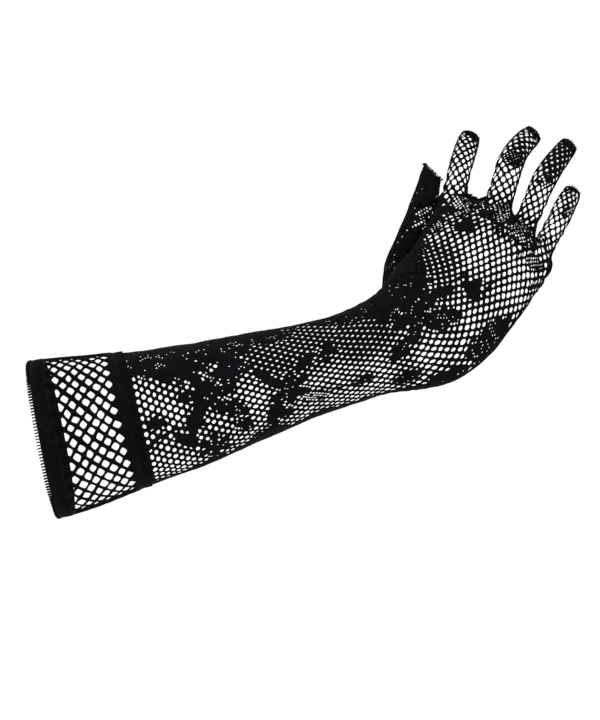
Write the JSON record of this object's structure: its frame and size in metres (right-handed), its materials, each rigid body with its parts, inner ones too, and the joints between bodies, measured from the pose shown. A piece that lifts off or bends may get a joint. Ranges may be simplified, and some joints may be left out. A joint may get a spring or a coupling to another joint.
{
  "type": "fishnet glove",
  "caption": "Long fishnet lace glove for the right hand, worn shape, with a coarse net cuff, a patterned net sleeve and hand, and closed finger stalls.",
  "frame": {"origin": "centre of the arm opening, at the plane of the overlocked edge", "axes": "+X along the glove from the arm opening towards the fingers, +Y from the back of the hand towards the palm, +Z towards the thumb side of the forearm, which is up as worn in the picture"},
  "size_m": [0.3542, 0.1203, 0.2575],
  "materials": {
    "lace": "matte black nylon net with a woven-in floral pattern",
    "dense_knit": "matte black ribbed knit",
    "overlock_thread": "matte black textured thread"
  },
  "bodies": {
    "root": {"cuff_net": "lace", "sleeve": "lace", "hand": "lace", "index_finger": "lace", "middle_finger": "lace", "ring_finger": "lace", "little_finger": "lace", "thumb": "lace", "cuff_hem": "dense_knit", "cuff_joining_band": "dense_knit", "cuff_edging": "overlock_thread", "index_tip_seam": "overlock_thread", "middle_tip_seam": "overlock_thread", "ring_tip_seam": "overlock_thread", "little_tip_seam": "overlock_thread", "thumb_tip_seam": "overlock_thread"}
  },
  "joints": []
}
